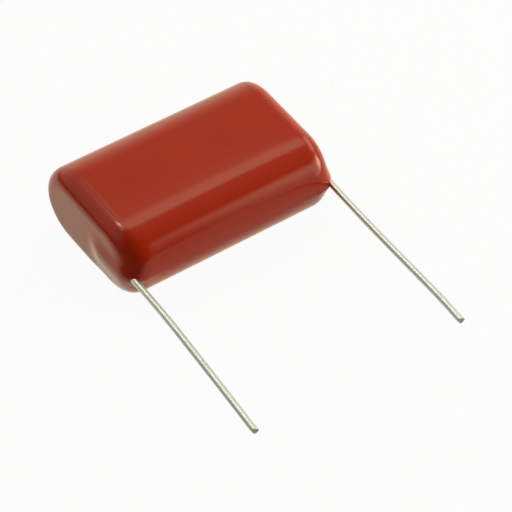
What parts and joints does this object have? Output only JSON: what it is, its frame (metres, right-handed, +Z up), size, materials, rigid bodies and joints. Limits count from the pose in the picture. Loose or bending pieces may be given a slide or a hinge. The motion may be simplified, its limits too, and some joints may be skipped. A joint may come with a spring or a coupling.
{
  "type": "dipped film capacitor",
  "caption": "Flattened film capacitor dipped in glossy epoxy, lying on its broad face, with straight wire leads from the ends of one long side.",
  "frame": {"origin": "On the flat of the lower broad face, under the middle of the coated body", "axes": "+X from the left lead to the right lead, -Y the way the leads leave, +Z up from the face that it rests on"},
  "size_m": [0.0304, 0.0445, 0.0108],
  "materials": {
    "epoxy": "gloss",
    "plain_film": "gloss",
    "metallised_film": "satin",
    "sprayed_zinc": "matte",
    "tinned_wire": "satin"
  },
  "bodies": {
    "root": {"epoxy_coating": "epoxy", "outer_film_wrap": "plain_film", "film_winding": "metallised_film", "end_spray_left": "sprayed_zinc", "end_spray_right": "sprayed_zinc", "lead_left": "tinned_wire", "lead_right": "tinned_wire"}
  },
  "joints": []
}
